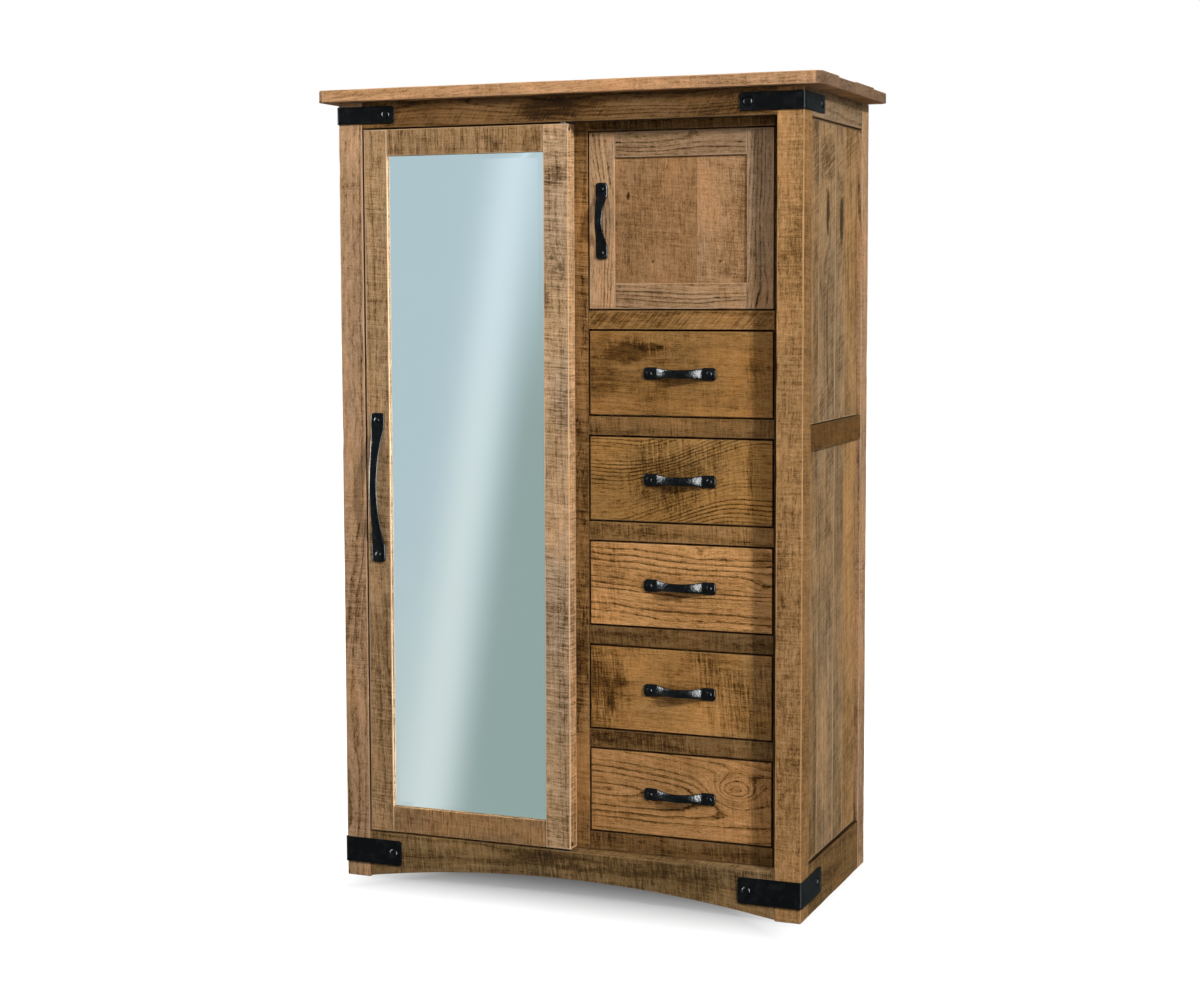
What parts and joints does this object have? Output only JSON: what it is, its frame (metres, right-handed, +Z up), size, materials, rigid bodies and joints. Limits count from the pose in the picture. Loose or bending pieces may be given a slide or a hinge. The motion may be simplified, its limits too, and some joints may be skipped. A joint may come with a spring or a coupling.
{
  "type": "chifforobe",
  "caption": "Rustic wardrobe with a tall mirror door beside a recessed bank of drawers under a small framed door, with black strap pulls and iron corner straps.",
  "frame": {"origin": "on the floor, in the middle of the overall footprint, which reaches from the long pull in front to the back posts", "axes": "+X to the viewer's right, -Y out of the front towards the viewer, +Z up"},
  "size_m": [1.198, 0.5684, 1.829],
  "materials": {
    "case_wood": "sawn reclaimed boards, clear matt wax",
    "top_wood": "planed reclaimed boards, clear matt wax",
    "dark_wood": "sawn reclaimed boards, dark stained, matt",
    "panel_wood": "sawn reclaimed boards, clear matt wax",
    "door_wood": "light sawn reclaimed boards, clear matt wax",
    "front_wood": "planed reclaimed boards with strong figure, satin",
    "inner_wood": "plain softwood, unfinished",
    "black_iron": "forged and blacked, semi-gloss",
    "strap_iron": "blacked flat bar, matt",
    "rod_steel": "brushed",
    "mirror_glass": "silvered plate glass with a wide bevel"
  },
  "bodies": {
    "case": {"top_board": "top_wood", "front_left_post": "case_wood", "front_right_post": "case_wood", "back_left_post": "case_wood", "back_right_post": "case_wood", "front_top_rail": "dark_wood", "front_bottom_rail": "dark_wood", "left_side_top_rail": "case_wood", "left_side_middle_rail": "case_wood", "left_side_bottom_rail": "case_wood", "right_side_top_rail": "case_wood", "right_side_middle_rail": "case_wood", "right_side_bottom_rail": "case_wood", "left_side_upper_panel": "panel_wood", "left_side_lower_panel": "panel_wood", "right_side_upper_panel": "panel_wood", "right_side_lower_panel": "panel_wood", "back_panel": "inner_wood", "case_floor": "inner_wood", "centre_partition": "inner_wood", "bank_face_frame": "dark_wood", "compartment_floor": "dark_wood", "drawer_1_web_frame": "dark_wood", "drawer_2_web_frame": "dark_wood", "drawer_3_web_frame": "dark_wood", "drawer_4_web_frame": "dark_wood", "drawer_5_web_frame": "dark_wood", "hanging_rod": "rod_steel", "top_left_corner_strap": "strap_iron", "top_right_corner_strap": "strap_iron", "bottom_left_corner_strap": "strap_iron", "bottom_right_corner_strap": "strap_iron"},
    "mirror_door": {"mirror_door_left_stile": "door_wood", "mirror_door_right_stile": "door_wood", "mirror_door_top_rail": "door_wood", "mirror_door_bottom_rail": "door_wood", "mirror_glass": "mirror_glass", "mirror_backing": "inner_wood", "mirror_door_pull": "black_iron", "mirror_door_top_pivot": "black_iron", "mirror_door_bottom_pivot": "black_iron"},
    "small_door": {"small_door_frame": "door_wood", "small_door_panel": "panel_wood", "small_door_pull": "black_iron"},
    "drawer_1": {"drawer_1_front": "front_wood", "drawer_1_box": "inner_wood", "drawer_1_pull": "black_iron"},
    "drawer_2": {"drawer_2_front": "front_wood", "drawer_2_box": "inner_wood", "drawer_2_pull": "black_iron"},
    "drawer_3": {"drawer_3_front": "front_wood", "drawer_3_box": "inner_wood", "drawer_3_pull": "black_iron"},
    "drawer_4": {"drawer_4_front": "front_wood", "drawer_4_box": "inner_wood", "drawer_4_pull": "black_iron"},
    "drawer_5": {"drawer_5_front": "front_wood", "drawer_5_box": "inner_wood", "drawer_5_pull": "black_iron"}
  },
  "joints": [
    {"name": "mirror_door_hinge", "type": "hinge", "parent": "case", "child": "mirror_door", "pos_m": [0.003, -0.24385, 0.925], "axis": [0, 0, 1], "range_deg": [0, 95]},
    {"name": "small_door_hinge", "type": "hinge", "parent": "case", "child": "small_door", "pos_m": [0.4605, -0.20285, 1.5245], "axis": [0, 0, 1], "range_deg": [0, 105]},
    {"name": "drawer_1_slide", "type": "slide", "parent": "case", "child": "drawer_1", "axis": [0, -1, 0], "range_m": [0, 0.33]},
    {"name": "drawer_2_slide", "type": "slide", "parent": "case", "child": "drawer_2", "axis": [0, -1, 0], "range_m": [0, 0.33]},
    {"name": "drawer_3_slide", "type": "slide", "parent": "case", "child": "drawer_3", "axis": [0, -1, 0], "range_m": [0, 0.33]},
    {"name": "drawer_4_slide", "type": "slide", "parent": "case", "child": "drawer_4", "axis": [0, -1, 0], "range_m": [0, 0.33]},
    {"name": "drawer_5_slide", "type": "slide", "parent": "case", "child": "drawer_5", "axis": [0, -1, 0], "range_m": [0, 0.33]}
  ]
}
